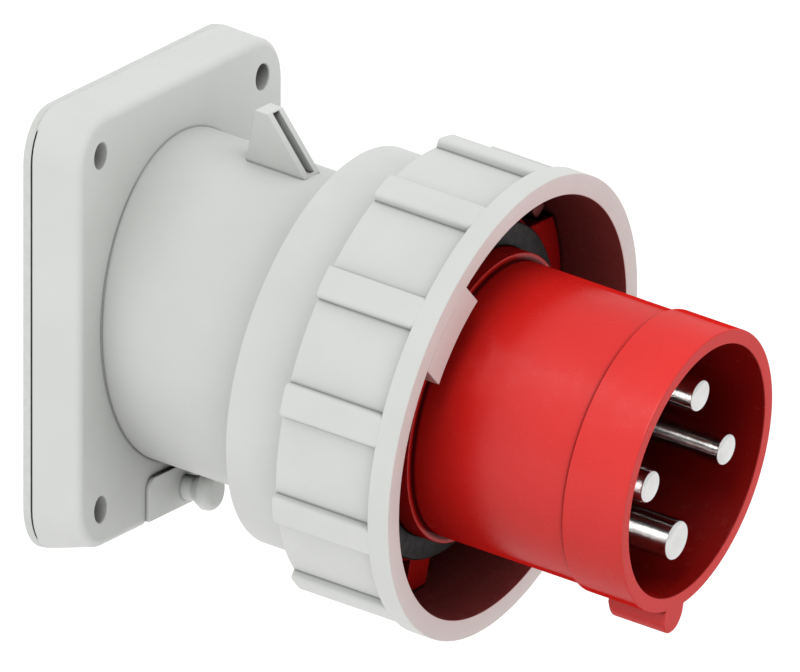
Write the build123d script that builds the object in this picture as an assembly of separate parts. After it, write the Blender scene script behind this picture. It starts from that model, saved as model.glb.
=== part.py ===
from build123d import *
import math
import os

# Pin and sleeve inlet, 63 A, three phases and earth, on a flange that tilts its sleeve 10 degrees down.
# Millimetres. The origin is the centre of the bolt pattern, in the plane where the gasket meets the panel.
# +X points out of the panel, +Z is up. Round pieces are drawn on the sleeve's own axis, which starts where
# it leaves the flange's front: there z runs along the sleeve, x is the frame's Y, and y is up.

# Panel flange and its gasket
flange_width = 100.0
flange_height = 106.5
flange_corner = 11.5
flange_depth = 12.35
flange_draft = 7.5
flange_edge_round = 2.0
flange_wall = 4.5
flange_pocket_depth = 6.5
shadow_gap = 0.37
shadow_gap_reach = 1.5
bolt_spacing_y = 77.0
bolt_spacing_z = 85.0
bolt_hole_radius = 3.15
bolt_boss_wall = 3.8
gasket_thickness = 2.0
gasket_corner = 12.0
gasket_opening_gap = 0.6

# Sleeve axis and the moulded tube with its collar
sleeve_tilt = 10.0
tube_wall = 4.0
tube_length = 40.3
foot_reveal = 0.9
foot_height = 0.7
collar_length = 16.9
collar_step = 2.95
collar_back_wall = 4.0
neck_reveal = 0.2
neck_length = 3.4
neck_wall = 4.2
bore_sleeve_wall = 2.3
bore_screw_wall = 2.85

# Fin on top of the tube, with the slot down its sloping front
fin_start = 12.6
fin_width = 7.4
fin_height = 12.4
fin_top_length = 3.5
fin_slope = 45.5
fin_slot_width = 3.0
fin_slot_depth = 4.5
fin_slot_end_wall = 1.3

# Plate let into the flange below the tube, with the stud for the cap's cord
plate_half_width = 17.2
plate_foot_gap = 1.15
plate_setback = 2.45
plate_corner = 3.0
plate_sunk = 3.0
plate_proud = 1.0
plate_gap = 0.2
stud_offset = 0.725
stud_radius = 3.0
stud_neck_length = 2.8
stud_head_radius = 4.75
stud_flare_length = 2.6
stud_head_length = 3.1
stud_head_round = 1.9
plate_screw_offset = 12.0
plate_screw_radius = 1.25
plate_screw_length = 4.6
plate_screw_head_radius = 2.2
plate_screw_head_height = 1.6

# Locking ring
ring_length = 31.5
ring_lip_height = 6.2
ring_lip_thickness = 2.8
ring_wall = 2.9
ring_play = 0.3
ring_bore_clearance = 0.25
ring_front_band = 5.55
rib_count = 12
rib_height = 2.2
rib_width = 8.05
rib_edge_round = 1.15
rib_first_angle = 23.5
bayonet_angle = 143.5
bayonet_count = 2
bayonet_width = 22.0
bayonet_height = 8.6
bayonet_thickness = 5.0
ring_turn = 60.0
stop_width = 4.0
stop_height = 4.2
stop_length = 9.5

# Sleeve insert: the sleeve with its band and key, the seal's seat and the ears that hold the ring
sleeve_inner_radius = 30.9
sleeve_wall = 2.65
sleeve_length = 66.6
sleeve_band_height = 0.95
sleeve_band_length = 15.95
sleeve_edge = 0.35
sleeve_foot_height = 1.75
sleeve_foot_length = 9.6
insert_flange_rim = 2.7
insert_flange_thickness = 5.4
seat_rim = 1.4
seat_height = 11.4
ear_clearance = 0.5
ear_thickness = 11.2
ear_half_height = 32.3
tab_half_width = 5.0
key_half_width = 4.25
key_reach = 2.8
key_length = 15.1
key_end_round = 1.0
seal_width = 5.85
seal_thickness = 4.0
seal_clearance = 0.05
seal_edge = 0.5
insert_screw_count = 4
insert_screw_angle = 45.0
insert_screw_radius = 1.6
insert_screw_hold = 10.6
insert_screw_head_radius = 2.8
insert_screw_head_height = 2.4
insert_screw_boss_wall = 2.0
screw_hole_clearance = 0.3
thread_clearance = 0.02

# Contact block, clamped by the insert against the collar's neck, with a spigot in the tube's bore
contact_floor_rise = 4.0
block_clearance = 0.1
block_screw_wall = 1.0
block_flange_thickness = 4.0
spigot_clearance = 0.3
spigot_length = 10.6
spigot_wall = 3.6
o_ring_groove_depth = 2.1
o_ring_groove_width = 2.8
o_ring_groove_setback = 3.6

# Contact pins and their terminals
pin_circle = 18.15
pin_setback = 1.8
line_pin_radius = 4.0
earth_pin_radius = 5.0
pin_tip_chamfer = 0.45
pin_root_step = 0.3
pin_clearance = 0.05
pin_shoulder = 3.0
pin_shoulder_length = 3.9
pin_seat_clearance = 0.1
pin_o_ring_section = 1.6
line_barrel_radius = 6.0
earth_barrel_radius = 6.5
barrel_length = 28.5
wire_bore_radius = 4.1
wire_bore_depth = 20.0
clamp_screw_radius = 2.5
clamp_screw_length = 4.8
clamp_screw_setback = 4.5
clamp_screw_pitch = 8.0
clamp_slot_width = 0.9
clamp_slot_depth = 1.2
saddle_clearance = 0.2
saddle_low = 2.4
saddle_high = 3.6
saddle_length = 15.0
retainer_thickness = 4.2
retainer_clearance = 0.3
barrier_thickness = 1.8
barrier_gap = 1.9
barrier_length = 25.0
retainer_screw_margin = 1.2
retainer_screw_radius = 1.4
retainer_screw_length = 6.5
retainer_screw_head_radius = 2.6
retainer_screw_head_height = 2.2

# Radii that follow from the sizes above, from the sleeve outwards
sleeve_radius = sleeve_inner_radius + sleeve_wall
sleeve_band_radius = sleeve_radius + sleeve_band_height
sleeve_foot_radius = sleeve_radius + sleeve_foot_height
key_drop = sleeve_radius + key_reach
seal_inner_radius = sleeve_foot_radius + seal_clearance
seal_outer_radius = seal_inner_radius + seal_width
seat_radius = seal_outer_radius + seat_rim
insert_flange_radius = seat_radius + insert_flange_rim
insert_screw_circle = (sleeve_foot_radius + seat_radius) / 2
neck_radius = insert_flange_radius + neck_reveal
collar_radius = neck_radius + collar_step
lip_radius = neck_radius + ring_bore_clearance
ring_inner_radius = neck_radius + ring_lip_height
panel_radius = ring_inner_radius + ring_wall
ring_radius = panel_radius + rib_height
bayonet_inner_radius = ring_inner_radius - bayonet_height
ear_radius = ring_inner_radius - ear_clearance
bore_radius = insert_screw_circle - insert_screw_radius - bore_screw_wall
tube_radius = bore_radius + tube_wall
foot_radius = tube_radius + foot_reveal
gasket_opening_radius = foot_radius + gasket_opening_gap
pocket_outer_radius = neck_radius - neck_wall
pocket_inner_radius = bore_radius + bore_sleeve_wall
spigot_radius = bore_radius - spigot_clearance
spigot_bore_radius = spigot_radius - spigot_wall
block_radius = sleeve_inner_radius - block_clearance
block_flange_radius = insert_screw_circle - insert_screw_radius - screw_hole_clearance - block_screw_wall
rebate_radius = block_flange_radius + block_clearance
retainer_radius = spigot_bore_radius - retainer_clearance
retainer_screw_circle = retainer_radius - retainer_screw_margin - retainer_screw_head_radius
barrier_reach = retainer_screw_circle - retainer_screw_head_radius - barrier_gap

# Places that follow, along the sleeve's axis and on the flange
flange_front = gasket_thickness + flange_depth
plate_top = foot_radius + plate_foot_gap
plate_bottom = flange_height / 2 - plate_setback
stud_height = (plate_top + plate_bottom) / 2 + stud_offset
collar_start = tube_length
collar_front = collar_start + collar_length
seat_plane = collar_front + neck_length
ring_start = collar_front + ring_play
ring_front = ring_start + ring_length
lip_front = ring_start + ring_lip_thickness
floor_plane = seat_plane + seat_height
contact_floor = floor_plane + contact_floor_rise
rebate_end = seat_plane + block_flange_thickness
sleeve_front = floor_plane + sleeve_length
pin_tip = sleeve_front - pin_setback
spigot_back = seat_plane - spigot_length
retainer_front = seat_plane - pin_seat_clearance
retainer_back = retainer_front - retainer_thickness
barrel_back = seat_plane - barrel_length
groove_front = seat_plane - o_ring_groove_setback
groove_back = groove_front - o_ring_groove_width
insert_screw_seat = floor_plane - insert_screw_head_height - pin_seat_clearance
line_angles = (90.0, 0.0, 180.0)
earth_angle = 270.0
clamp_places = (barrel_back + clamp_screw_setback, barrel_back + clamp_screw_setback + clamp_screw_pitch)

panel_plane = Plane(origin=(0, 0, 0), x_dir=(0, 1, 0), z_dir=(1, 0, 0))
tilt = math.radians(sleeve_tilt)
sleeve_plane = Plane(
    origin=(flange_front, 0, 0), x_dir=(0, 1, 0), z_dir=(math.cos(tilt), 0, -math.sin(tilt))
)
side_plane = Plane(origin=(0, 0, 0), x_dir=(0, 0, 1), z_dir=(-1, 0, 0))


def to_panel(shape, distance=0.0):
    """A shape drawn flat, moved into the panel's frame at a distance out from the panel."""
    return panel_plane.location * Pos(0, 0, distance) * shape


def to_sleeve(shape):
    """A shape drawn on the sleeve's axis, moved into the part's frame."""
    return sleeve_plane.location * shape


def disc(radius, start, end):
    """A solid cylinder on the z axis, from start to end."""
    return Pos(0, 0, start) * Cylinder(radius, end - start, align=(Align.CENTER, Align.CENTER, Align.MIN))


def hollow(outer, inner, start, end):
    """A plain ring on the z axis."""
    return disc(outer, start, end) - disc(inner, start, end)


def turned(points):
    """The solid of revolution of a profile given as radius and place along the z axis."""
    profile = Plane.XZ * make_face(Polyline(*points, close=True))
    return revolve(profile, Axis.Z)


def at_angle(angle, radius=0.0):
    """Where a thing stands that lies at a radius and an angle round the z axis, its x pointing outwards."""
    return Rot(0, 0, angle) * Pos(radius, 0, 0)


def around(count, first):
    return [first + 360.0 / count * i for i in range(count)]


def bolt_places():
    return [(y * bolt_spacing_y / 2, z * bolt_spacing_z / 2) for y in (-1, 1) for z in (-1, 1)]


def screw(shank_radius, shank_length, head_radius, head_height):
    """A cheese head screw that points along -z, with the underside of its head at z = 0."""
    shank = disc(shank_radius, -shank_length, 0)
    head = disc(head_radius, 0, head_height)
    slot = Pos(0, 0, head_height) * Box(head_radius * 3, head_radius / 3, head_height)
    return shank + (head - slot)


def o_ring(middle_radius, half_section, place):
    """An O-ring, its section eight-sided, with flats where it is squeezed in its groove."""
    section = RegularPolygon(half_section, 8, major_radius=False, rotation=22.5)
    return revolve(Plane.XZ * Pos(middle_radius, place) * section, Axis.Z)


def flange_block():
    """The drafted block of the flange, standing on z = 0, with its front edge rounded."""
    block = extrude(Rectangle(flange_width, flange_height), flange_depth, taper=flange_draft)
    corners = [edge for edge in block.edges() if edge.bounding_box().size.Z > flange_depth / 2]
    block = fillet(corners, flange_corner)
    front = block.faces().sort_by(Axis.Z)[-1]
    return fillet(front.edges(), flange_edge_round)


def flange_rear_pocket():
    """What is cored out of the flange's back, between its rim and the bosses of the bolt holes."""
    rim = RectangleRounded(flange_width - 2 * flange_wall, flange_height - 2 * flange_wall,
                           flange_corner - flange_wall / 2)
    pocket = extrude(rim, flange_pocket_depth)
    for y, z in bolt_places():
        pocket -= Pos(y, z) * disc(bolt_hole_radius + bolt_boss_wall, 0, flange_pocket_depth)
    return pocket


def shadow_line():
    """The narrow gaps down both sides, between the flange's back edge and the gasket."""
    reach = 2 * shadow_gap_reach
    outside = Rectangle(flange_width + reach, flange_height + reach)
    inside = Rectangle(flange_width - reach, flange_height + 2 * reach)
    return extrude(outside - inside, shadow_gap)


def plate_outline(grow, bottom):
    """The cord plate seen from the front: round upper corners, straight sides down to bottom."""
    half = plate_half_width + grow
    top = -plate_top + grow
    corner = plate_corner + grow
    line = FilletPolyline(
        (-half, -bottom), (-half, top), (half, top), (half, -bottom), close=False, radius=corner
    )
    return make_face(line + Line((half, -bottom), (-half, -bottom)))


def fin():
    """The upright fin with its sloping front, drawn on the sleeve's axis."""
    root = tube_radius - tube_wall / 2
    top = tube_radius + fin_height
    run = fin_height / math.tan(math.radians(fin_slope))
    toe = fin_start + fin_top_length + run
    side = make_face(Polyline(
        (fin_start, root), (fin_start, top), (fin_start + fin_top_length, top), (toe, tube_radius),
        (toe, root), close=True,
    ))
    body = extrude(side_plane * side, fin_width / 2, both=True)
    slope_length = fin_height / math.sin(math.radians(fin_slope))
    slot_length = slope_length - 2 * fin_slot_end_wall
    slot = Box(slot_length, 2 * fin_slot_depth, fin_slot_width)
    middle = (fin_start + fin_top_length + run / 2, tube_radius + fin_height / 2)
    return body - side_plane.location * Pos(*middle) * Rot(0, 0, -fin_slope) * slot


def housing():
    """Flange, tube, collar and fin, moulded in one piece and open at the back for the wires."""
    back = -flange_depth * 2
    body = turned([
        (0, back), (tube_radius, back), (tube_radius, collar_start), (collar_radius, collar_start),
        (collar_radius, collar_front), (neck_radius, collar_front), (neck_radius, seat_plane),
        (0, seat_plane),
    ])
    body = to_sleeve(body + fin())
    behind = to_panel(disc(collar_radius * 2, -collar_radius, gasket_thickness))
    tube_wall_behind = body - behind
    flange = to_panel(flange_block(), gasket_thickness) - to_panel(flange_rear_pocket(), gasket_thickness)
    foot = to_panel(disc(foot_radius, flange_front - foot_height, flange_front + foot_height))
    whole = flange + tube_wall_behind + foot
    whole -= to_panel(shadow_line(), gasket_thickness)
    bore = disc(bore_radius, back, seat_plane)
    pocket = hollow(pocket_outer_radius, pocket_inner_radius, collar_start + collar_back_wall, seat_plane)
    boss_radius = insert_screw_radius + insert_screw_boss_wall
    for angle in around(insert_screw_count, insert_screw_angle):
        place = at_angle(angle, insert_screw_circle)
        pocket -= place * disc(boss_radius, collar_start, seat_plane)
        pilot = disc(insert_screw_radius + thread_clearance, seat_plane - insert_screw_hold, seat_plane)
        bore += place * pilot
    whole -= to_sleeve(bore)
    whole -= to_sleeve(pocket)
    for y, z in bolt_places():
        whole -= to_panel(Pos(y, z) * disc(bolt_hole_radius, 0, flange_front + foot_height))
    recess = extrude(plate_outline(plate_gap, flange_height), plate_sunk + stud_radius)
    whole -= to_panel(recess, flange_front - plate_sunk)
    for y in (-plate_screw_offset, plate_screw_offset):
        hole = disc(plate_screw_radius + screw_hole_clearance, 0, flange_front)
        whole -= to_panel(Pos(y, -stud_height) * hole, gasket_thickness)
    return whole


def flange_gasket():
    """Flat gasket between the flange and the panel."""
    sheet = RectangleRounded(flange_width, flange_height, gasket_corner) - Circle(gasket_opening_radius)
    for y, z in bolt_places():
        sheet -= Pos(y, z) * Circle(bolt_hole_radius)
    return to_panel(extrude(sheet, gasket_thickness))


def cap_cord_plate():
    """Plate that sits in the flange's front recess, with the mushroom stud for the cap's cord."""
    back = flange_front - plate_sunk + plate_gap / 2
    plate = to_panel(extrude(plate_outline(0, plate_bottom), plate_sunk + plate_proud - plate_gap / 2), back)
    neck = flange_front + plate_proud
    head = neck + stud_neck_length + stud_flare_length
    front = head + stud_head_length
    side = Polyline((0, back), (stud_radius, back), (stud_radius, neck + stud_neck_length),
                    (stud_head_radius, head), (stud_head_radius, front - stud_head_round))
    nose = RadiusArc((stud_head_radius, front - stud_head_round),
                     (stud_head_radius - stud_head_round, front), -stud_head_round)
    rest = Polyline((stud_head_radius - stud_head_round, front), (0, front), (0, back))
    stud = revolve(Plane.XZ * make_face(side + nose + rest), Axis.Z)
    plate += to_panel(Pos(0, -stud_height) * stud)
    for y in (-plate_screw_offset, plate_screw_offset):
        pilot = disc(plate_screw_radius + thread_clearance, 0, plate_screw_hold())
        plate -= to_panel(Pos(y, -stud_height) * pilot, back)
    return plate


def plate_web():
    """Wall of the flange between its rear pocket and the plate's recess."""
    return flange_depth - flange_pocket_depth - plate_sunk


def plate_screw_hold():
    return plate_screw_length - plate_web()


def plate_screws():
    one = Rot(180, 0, 0) * screw(plate_screw_radius, plate_screw_length, plate_screw_head_radius,
                                 plate_screw_head_height)
    seat = gasket_thickness + flange_pocket_depth
    return [to_panel(Pos(y, -stud_height) * one, seat) for y in (-plate_screw_offset, plate_screw_offset)]


def ring_panels():
    """What is cut from the ring's outside between its ribs."""
    top = ring_radius + ring_play
    panel_end = ring_front - ring_front_band
    cutter = hollow(top, panel_radius, ring_start - ring_play, panel_end)
    height = top - ring_inner_radius
    corner = ring_radius - rib_edge_round
    rib = Pos(ring_inner_radius + height / 2, 0) * Rectangle(height, rib_width)
    for side in (-1, 1):
        outer = Pos(corner, side * (rib_width / 2 - rib_edge_round))
        square = Rectangle(top, rib_edge_round, align=(Align.MIN, Align.MIN if side > 0 else Align.MAX))
        rib -= outer * (square - Circle(rib_edge_round))
    bar = Pos(0, 0, ring_start - 2 * ring_play) * extrude(rib, ring_length)
    for angle in around(rib_count, rib_first_angle):
        cutter -= at_angle(angle) * bar
    return cutter


def locking_ring():
    """Ribbed ring that turns on the collar's neck and draws the mating connector in with two lugs."""
    ring = turned([
        (lip_radius, ring_start), (ring_radius, ring_start), (ring_radius, ring_front),
        (ring_inner_radius, ring_front), (ring_inner_radius, lip_front), (lip_radius, lip_front),
    ])
    ring -= ring_panels()
    overlap = (panel_radius - ring_inner_radius) / 2
    reach = ring_inner_radius + overlap
    lug_depth = reach - bayonet_inner_radius
    wall = disc(reach, ring_start, ring_front)
    for angle in around(bayonet_count, bayonet_angle):
        lug = Box(lug_depth * 2, bayonet_width, bayonet_thickness,
                  align=(Align.MIN, Align.CENTER, Align.MAX))
        lug = at_angle(angle) * Pos(bayonet_inner_radius - lug_depth, 0, ring_front) * lug
        lug -= disc(bayonet_inner_radius, ring_start, ring_front)
        ring += lug & wall
    for angle in stop_angles():
        stop = Box(stop_height + overlap, stop_width, stop_length + ring_lip_thickness / 2,
                   align=(Align.MAX, Align.CENTER, Align.MIN))
        root = at_angle(angle, ring_inner_radius + overlap)
        ring += root * Pos(0, 0, lip_front - ring_lip_thickness / 2) * stop
    return ring


def stop_angles():
    """Where the ring's two stops stand at rest: one beside an ear, the other a turn short of the next."""
    inner = ring_inner_radius - stop_height
    lean = math.degrees(math.atan2(stop_width / 2, inner))
    corner = math.hypot(inner, stop_width / 2)
    nearest = math.degrees(math.asin((ear_half_height + ring_play) / corner)) + lean
    return (nearest, 180.0 - nearest - ring_turn)


def pin_seats():
    """Holes through the contact block for the four pins, with the seats of their shoulders and O-rings."""
    cut = []
    for angle, radius in pins():
        root = radius + pin_root_step
        o_ring_outer = root + pin_o_ring_section
        shoulder = radius + pin_shoulder
        seat_end = seat_plane + pin_shoulder_length + pin_seat_clearance
        place = at_angle(angle, pin_circle)
        cut.append(place * disc(root + pin_clearance, seat_plane, contact_floor))
        cut.append(place * disc(shoulder + 2 * pin_seat_clearance, seat_plane, seat_end))
        cut.append(place * disc(o_ring_outer + pin_clearance, seat_end, seat_end + o_ring_room()))
    return cut


def o_ring_room():
    return pin_o_ring_section + 2 * pin_clearance


def pins():
    """Angle and radius of each contact pin."""
    return [(angle, line_pin_radius) for angle in line_angles] + [(earth_angle, earth_pin_radius)]


def ears():
    """The two side ears and the foot tab that keep the ring from coming off forwards."""
    band = Rectangle(2 * ear_radius, 2 * ear_half_height) & Circle(ear_radius)
    foot = Pos(0, -ear_radius / 2) * Rectangle(2 * tab_half_width, ear_radius) & Circle(ear_radius)
    return Pos(0, 0, seat_plane) * extrude(band + foot, ear_thickness)


def key_lug():
    """The rounded key under the sleeve's front, which lets only a matching connector in."""
    root = sleeve_radius - sleeve_wall / 2
    outline = Pos(0, -key_drop) * Circle(key_half_width)
    outline += Pos(0, -(key_drop + root) / 2) * Rectangle(2 * key_half_width, key_drop - root)
    key = Pos(0, 0, sleeve_front - key_length) * extrude(outline, key_length)
    end = key.faces().sort_by(Axis.Z)[0]
    return fillet(end.edges().sort_by(Axis.Y)[:-1], key_end_round)


def shroud_insert():
    """The long sleeve with its band and key, the seat of the seal and the ears, moulded in one piece."""
    band_start = sleeve_front - sleeve_band_length
    foot_end = floor_plane + sleeve_foot_length
    flange_end = seat_plane + insert_flange_thickness
    body = turned([
        (rebate_radius, seat_plane), (insert_flange_radius, seat_plane), (insert_flange_radius, flange_end),
        (seat_radius, flange_end), (seat_radius, floor_plane), (sleeve_foot_radius, floor_plane),
        (sleeve_foot_radius, foot_end), (sleeve_radius, foot_end), (sleeve_radius, band_start),
        (sleeve_band_radius, band_start), (sleeve_band_radius, sleeve_front - sleeve_edge),
        (sleeve_band_radius - sleeve_edge, sleeve_front), (sleeve_inner_radius, sleeve_front),
        (sleeve_inner_radius, rebate_end), (rebate_radius, rebate_end),
    ])
    body += ears() - disc(insert_screw_circle, seat_plane, contact_floor)
    body += key_lug()
    for angle in around(insert_screw_count, insert_screw_angle):
        place = at_angle(angle, insert_screw_circle)
        body -= place * disc(insert_screw_radius + screw_hole_clearance, seat_plane, floor_plane)
        body -= place * disc(insert_screw_head_radius + screw_hole_clearance, insert_screw_seat, floor_plane)
    return to_sleeve(body)


def contact_block():
    """Block that carries the pins: the floor of the sleeve, a clamped flange and a spigot in the tube."""
    block = turned([
        (0, seat_plane), (spigot_bore_radius, seat_plane), (spigot_bore_radius, spigot_back),
        (spigot_radius, spigot_back), (spigot_radius, seat_plane), (block_flange_radius, seat_plane),
        (block_flange_radius, rebate_end), (block_radius, rebate_end), (block_radius, contact_floor),
        (0, contact_floor),
    ])
    for cut in pin_seats():
        block -= cut
    block -= hollow(spigot_radius + spigot_clearance, spigot_radius - o_ring_groove_depth,
                    groove_back, groove_front)
    pilot = disc(retainer_screw_radius + thread_clearance, seat_plane, seat_plane + retainer_screw_length)
    for angle in around(insert_screw_count, insert_screw_angle):
        block -= at_angle(angle, retainer_screw_circle) * pilot
    return to_sleeve(block)


def face_seal():
    """Rubber ring on the seat, against which the mating connector's collar closes."""
    top = floor_plane + seal_thickness
    seal = turned([
        (seal_inner_radius, floor_plane), (seal_outer_radius, floor_plane),
        (seal_outer_radius, top - seal_edge), (seal_outer_radius - seal_edge, top), (seal_inner_radius, top),
    ])
    return to_sleeve(seal)


def insert_o_ring():
    groove_bottom = spigot_radius - o_ring_groove_depth
    section = (bore_radius - groove_bottom) / 2 - thread_clearance
    return to_sleeve(o_ring((bore_radius + groove_bottom) / 2, section, (groove_back + groove_front) / 2))


def insert_screws():
    length = insert_screw_seat - seat_plane + insert_screw_hold - thread_clearance
    one = screw(insert_screw_radius, length, insert_screw_head_radius, insert_screw_head_height)
    places = around(insert_screw_count, insert_screw_angle)
    return [to_sleeve(at_angle(a, insert_screw_circle) * Pos(0, 0, insert_screw_seat) * one) for a in places]


def contact_pin(radius, barrel_radius):
    """Turned pin with its shoulder and the drilled terminal barrel, its clamp screws facing +x."""
    root = radius + pin_root_step
    bore_end = barrel_back + wire_bore_depth
    shoulder_end = seat_plane + pin_shoulder_length
    pin = turned([
        (0, bore_end), (wire_bore_radius, bore_end), (wire_bore_radius, barrel_back),
        (barrel_radius, barrel_back), (barrel_radius, seat_plane), (radius + pin_shoulder, seat_plane),
        (radius + pin_shoulder, shoulder_end), (root, shoulder_end), (root, contact_floor),
        (radius, contact_floor), (radius, pin_tip - pin_tip_chamfer), (radius - pin_tip_chamfer, pin_tip),
        (0, pin_tip),
    ])
    for place in clamp_places:
        hole = disc(clamp_screw_radius + thread_clearance, 0, 2 * barrel_radius)
        pin -= Pos(0, 0, place) * Rot(0, 90, 0) * hole
    return pin


def clamp_screw():
    """Slotted clamp screw, drawn where it stands in a pin that lies on the z axis."""
    body = disc(clamp_screw_radius, saddle_high, saddle_high + clamp_screw_length)
    top = saddle_high + clamp_screw_length
    slot = Pos(0, 0, top) * Box(4 * clamp_screw_radius, clamp_slot_width, 2 * clamp_slot_depth)
    return Rot(0, 90, 0) * (body - slot)


def clamp_saddle():
    """Saddle in the wire bore that the clamp screws press on the wire."""
    strip = Pos((saddle_low + saddle_high) / 2, 0) * Rectangle(saddle_high - saddle_low, 2 * wire_bore_radius)
    section = strip & Circle(wire_bore_radius - saddle_clearance)
    start = (clamp_places[0] + clamp_places[-1] - saddle_length) / 2
    return Pos(0, 0, start) * extrude(section, saddle_length)


def pin_o_ring(radius):
    seat = seat_plane + pin_shoulder_length + pin_seat_clearance
    half = pin_o_ring_section / 2
    root = radius + pin_root_step
    return o_ring(root + half + pin_clearance / 2, half, seat + o_ring_room() / 2)


def pin_retainer():
    """Plate that holds the pin shoulders in the block, with cross walls between the terminals."""
    plate = disc(retainer_radius, retainer_back, retainer_front)
    for angle in around(2, insert_screw_angle):
        wall = Box(2 * barrier_reach, barrier_thickness, barrier_length,
                   align=(Align.CENTER, Align.CENTER, Align.MAX))
        plate += at_angle(angle) * Pos(0, 0, retainer_back) * wall
    for angle, radius in pins():
        barrel = line_barrel_radius if radius == line_pin_radius else earth_barrel_radius
        hole = disc(barrel + pin_seat_clearance, retainer_back, retainer_front)
        plate -= at_angle(angle, pin_circle) * hole
    for angle in around(insert_screw_count, insert_screw_angle):
        hole = disc(retainer_screw_radius + screw_hole_clearance, retainer_back, retainer_front)
        plate -= at_angle(angle, retainer_screw_circle) * hole
    return to_sleeve(plate)


def retainer_screws():
    length = retainer_thickness + pin_seat_clearance + retainer_screw_length - thread_clearance
    one = Rot(180, 0, 0) * screw(retainer_screw_radius, length, retainer_screw_head_radius,
                                 retainer_screw_head_height)
    places = around(insert_screw_count, insert_screw_angle)
    return [to_sleeve(at_angle(a, retainer_screw_circle) * Pos(0, 0, retainer_back) * one) for a in places]


def at_pin(angle, shape):
    return to_sleeve(at_angle(angle, pin_circle) * shape)


def write(name, shapes):
    """One STEP file for a node, of one solid or of a group of like ones."""
    solids = shapes if isinstance(shapes, list) else [shapes]
    export_step(Compound(children=[solid for shape in solids for solid in shape.solids()]),
                f"parts/{name}.step")


os.makedirs("parts", exist_ok=True)
write("housing", housing())
write("flange_gasket", flange_gasket())
write("cap_cord_plate", cap_cord_plate())
write("cap_cord_plate_screws", plate_screws())
write("locking_ring", to_sleeve(locking_ring()))
write("shroud_insert", shroud_insert())
write("contact_block", contact_block())
write("face_seal", face_seal())
write("insert_o_ring", insert_o_ring())
write("insert_screws", insert_screws())
for number, angle in enumerate(line_angles, start=1):
    write(f"line_pin_{number}", at_pin(angle, contact_pin(line_pin_radius, line_barrel_radius)))
    write(f"line_clamp_saddle_{number}", at_pin(angle, clamp_saddle()))
write("earth_pin", at_pin(earth_angle, contact_pin(earth_pin_radius, earth_barrel_radius)))
write("earth_clamp_saddle", at_pin(earth_angle, clamp_saddle()))
write("line_clamp_screws",
      [at_pin(a, Pos(0, 0, z) * clamp_screw()) for a in line_angles for z in clamp_places])
write("earth_clamp_screws", [at_pin(earth_angle, Pos(0, 0, z) * clamp_screw()) for z in clamp_places])
write("line_pin_o_rings", [at_pin(a, pin_o_ring(line_pin_radius)) for a in line_angles])
write("earth_pin_o_ring", at_pin(earth_angle, pin_o_ring(earth_pin_radius)))
write("pin_retainer", pin_retainer())
write("retainer_screws", retainer_screws())
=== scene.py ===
import math

import bmesh
import bpy
from mathutils import Matrix, Vector


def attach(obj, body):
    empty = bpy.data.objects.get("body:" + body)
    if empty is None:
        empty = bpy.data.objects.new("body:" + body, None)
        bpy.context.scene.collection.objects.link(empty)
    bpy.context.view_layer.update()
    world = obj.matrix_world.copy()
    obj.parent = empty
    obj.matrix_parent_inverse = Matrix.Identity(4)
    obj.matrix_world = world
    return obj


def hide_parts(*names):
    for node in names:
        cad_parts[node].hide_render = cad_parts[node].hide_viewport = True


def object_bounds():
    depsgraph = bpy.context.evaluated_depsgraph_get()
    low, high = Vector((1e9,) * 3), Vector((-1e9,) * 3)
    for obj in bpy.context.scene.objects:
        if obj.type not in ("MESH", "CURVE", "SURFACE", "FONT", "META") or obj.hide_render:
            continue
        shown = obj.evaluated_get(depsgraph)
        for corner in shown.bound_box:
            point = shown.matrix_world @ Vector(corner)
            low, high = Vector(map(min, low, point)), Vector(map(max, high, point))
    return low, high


# Looks for a panel inlet with a tilted sleeve and a locking ring.
# Sizes in the dictionaries are millimetres; meshes are stored in metres, in the part's own frame.

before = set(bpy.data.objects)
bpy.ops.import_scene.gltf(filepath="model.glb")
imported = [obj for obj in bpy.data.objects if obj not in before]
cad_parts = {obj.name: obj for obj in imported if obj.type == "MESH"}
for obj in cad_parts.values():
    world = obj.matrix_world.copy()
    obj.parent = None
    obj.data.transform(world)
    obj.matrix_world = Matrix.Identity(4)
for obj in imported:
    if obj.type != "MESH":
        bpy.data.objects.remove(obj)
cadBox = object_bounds()
print("frame loaded,", len(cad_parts), "parts")

mm = 0.001
beyond = 1.0  # how far a cutting or joining shape reaches past the surface it meets
sleeveAxis = {"tilt": 10.0, "foot": 14.35}  # degrees below +X, and where the axis leaves the flange

tilt = math.radians(sleeveAxis["tilt"])
alongSleeve = Matrix((  # x is the frame's Y, y is up, z runs out along the sleeve
    (0, math.sin(tilt), math.cos(tilt), sleeveAxis["foot"]),
    (1, 0, 0, 0),
    (0, math.cos(tilt), -math.sin(tilt), 0),
    (0, 0, 0, 1),
))
facingPanel = Matrix(((0, 0, 1, 0), (1, 0, 0, 0), (0, 1, 0, 0), (0, 0, 0, 1)))  # z runs out of the panel


# Mesh tools

def linked(name, data):
    piece = bpy.data.objects.new(name, data)
    bpy.context.scene.collection.objects.link(piece)
    return piece


def meshFrom(name, bm):
    mesh = bpy.data.meshes.new(name)
    bm.to_mesh(mesh)
    bm.free()
    return linked(name, mesh)


def closedMesh(name, bm):
    bmesh.ops.recalc_face_normals(bm, faces=bm.faces)
    return meshFrom(name, bm)


def spanned(start, end, steps):
    # evenly spaced values, both ends included
    return [start + (end - start) * k / steps for k in range(steps + 1)]


def quarterTurn(steps):
    return [math.radians(90 * k / steps) for k in range(steps + 1)]


def arc(radius, angles):
    return [(radius * math.cos(a), radius * math.sin(a)) for a in angles]


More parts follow.
